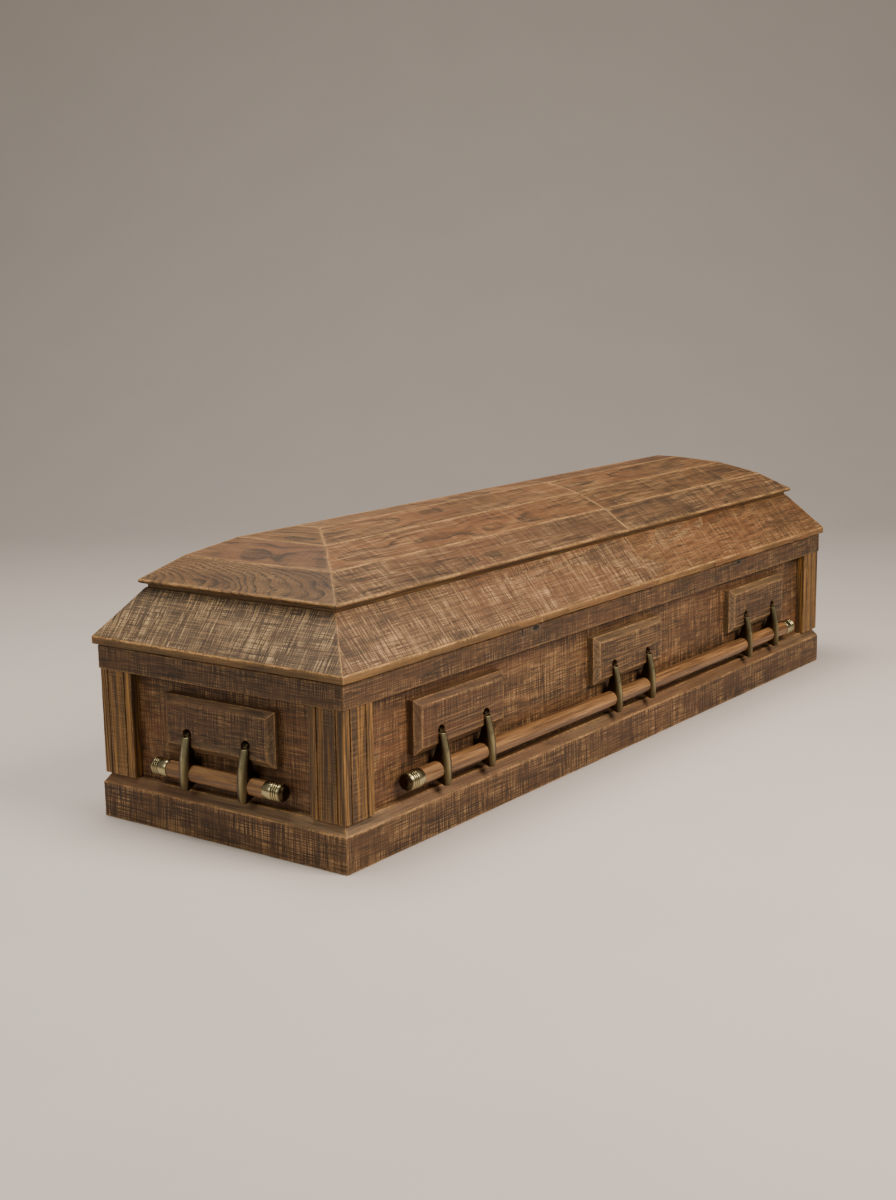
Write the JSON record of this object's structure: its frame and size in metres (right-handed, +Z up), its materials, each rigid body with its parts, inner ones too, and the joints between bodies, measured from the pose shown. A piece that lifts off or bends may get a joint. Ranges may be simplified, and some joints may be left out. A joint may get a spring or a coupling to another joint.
{
  "type": "wooden coffin",
  "caption": "Rustic wooden coffin: bevelled base, grooved corner posts, raised panels with wooden bar handles on swinging metal arms, and a split hipped lid.",
  "frame": {"origin": "centre of the footprint, at the level of the underside of the base", "axes": "+X along the length, from the end with the longer half of the lid to the other; +Y across the width; +Z up"},
  "size_m": [2.1578, 0.6948, 0.5986],
  "materials": {
    "case_wood": "dark stained rough-sawn wood, matt",
    "trim_wood": "dark stained rough-sawn wood with lighter worn edges",
    "lid_wood": "dark stained wood, golden brown on the worn edges",
    "bar_wood": "smooth mid-brown wood, satin",
    "handle_brass": "antique brass, dulled and darkened"
  },
  "bodies": {
    "case": {"floor_board": "case_wood", "side_board_front": "case_wood", "side_board_back": "case_wood", "end_board_near": "case_wood", "end_board_far": "case_wood", "base_board_front": "trim_wood", "top_rail_front": "trim_wood", "base_board_back": "trim_wood", "top_rail_back": "trim_wood", "base_board_near": "trim_wood", "top_rail_near": "trim_wood", "base_board_far": "trim_wood", "top_rail_far": "trim_wood", "post_front_near": "trim_wood", "post_back_near": "trim_wood", "post_front_far": "trim_wood", "post_back_far": "trim_wood", "handle_panel_front_1": "trim_wood", "handle_panel_front_2": "trim_wood", "handle_panel_front_3": "trim_wood", "handle_panel_back_1": "trim_wood", "handle_panel_back_2": "trim_wood", "handle_panel_back_3": "trim_wood", "handle_panel_near": "trim_wood", "handle_panel_far": "trim_wood", "lid_rim_near": "lid_wood", "lid_rim_far": "lid_wood", "lid_crown_near": "lid_wood", "lid_crown_far": "lid_wood"},
    "handle_front": {"arm_front_1": "handle_brass", "arm_front_2": "handle_brass", "arm_front_3": "handle_brass", "arm_front_4": "handle_brass", "arm_front_5": "handle_brass", "arm_front_6": "handle_brass", "bar_front": "bar_wood", "tip_front_1": "handle_brass", "tip_front_2": "handle_brass"},
    "handle_back": {"arm_back_1": "handle_brass", "arm_back_2": "handle_brass", "arm_back_3": "handle_brass", "arm_back_4": "handle_brass", "arm_back_5": "handle_brass", "arm_back_6": "handle_brass", "bar_back": "bar_wood", "tip_back_1": "handle_brass", "tip_back_2": "handle_brass"},
    "handle_near": {"arm_near_1": "handle_brass", "arm_near_2": "handle_brass", "bar_near": "bar_wood", "tip_near_1": "handle_brass", "tip_near_2": "handle_brass"},
    "handle_far": {"arm_far_1": "handle_brass", "arm_far_2": "handle_brass", "bar_far": "bar_wood", "tip_far_1": "handle_brass", "tip_far_2": "handle_brass"}
  },
  "joints": [
    {"name": "handle_front_swing", "type": "hinge", "parent": "case", "child": "handle_front", "pos_m": [0, -0.3225, 0.215], "axis": [-1, 0, 0], "range_deg": [0, 65]},
    {"name": "handle_back_swing", "type": "hinge", "parent": "case", "child": "handle_back", "pos_m": [0, 0.3225, 0.215], "axis": [1, 0, 0], "range_deg": [0, 65]},
    {"name": "handle_near_swing", "type": "hinge", "parent": "case", "child": "handle_near", "pos_m": [-1.054, 0, 0.215], "axis": [0, 1, 0], "range_deg": [0, 65]},
    {"name": "handle_far_swing", "type": "hinge", "parent": "case", "child": "handle_far", "pos_m": [1.054, 0, 0.215], "axis": [0, -1, 0], "range_deg": [0, 65]}
  ]
}
